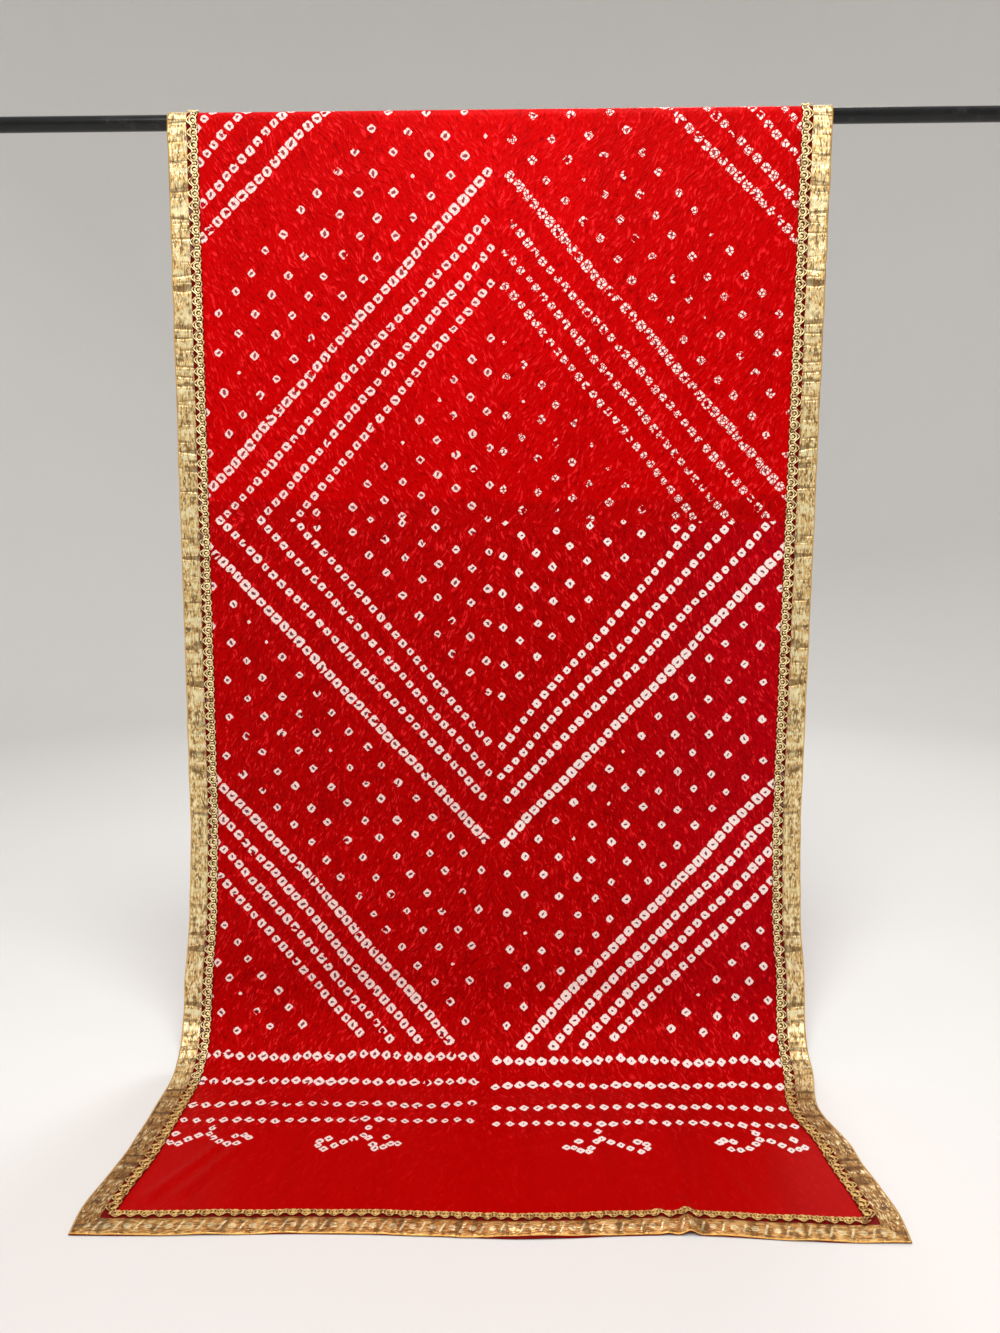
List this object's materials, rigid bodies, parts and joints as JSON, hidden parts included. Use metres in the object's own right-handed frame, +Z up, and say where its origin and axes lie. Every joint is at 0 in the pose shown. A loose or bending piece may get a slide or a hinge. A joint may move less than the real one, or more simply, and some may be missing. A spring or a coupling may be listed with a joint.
{
  "type": "bandhani cloth draped over a rod",
  "caption": "Long tie-dyed red cloth with a gold ribbon and looped braid border, draped over a round rod, its front end lying out on the floor.",
  "frame": {"origin": "middle of the model's bounding box at floor height; the cloth's front end lies on z = 0", "axes": "+Z up, +X along the rod, -Y towards the viewer, the way the front end runs out over the floor"},
  "size_m": [1.5, 0.455, 1.3365],
  "materials": {
    "bandhani_red": "crinkled silk satin, tie-dyed red with white resist dots",
    "gold_ribbon": "flat metallic gold ribbon, woven and embossed",
    "gold_braid": "looped metallic gold braid",
    "rod_black": "gloss black paint"
  },
  "bodies": {
    "root": {"cloth": "bandhani_red", "ribbon_left": "gold_ribbon", "ribbon_right": "gold_ribbon", "ribbon_front": "gold_ribbon", "ribbon_back": "gold_ribbon", "braid_left": "gold_braid", "braid_right": "gold_braid", "braid_front": "gold_braid", "braid_back": "gold_braid", "rod": "rod_black"}
  },
  "joints": []
}
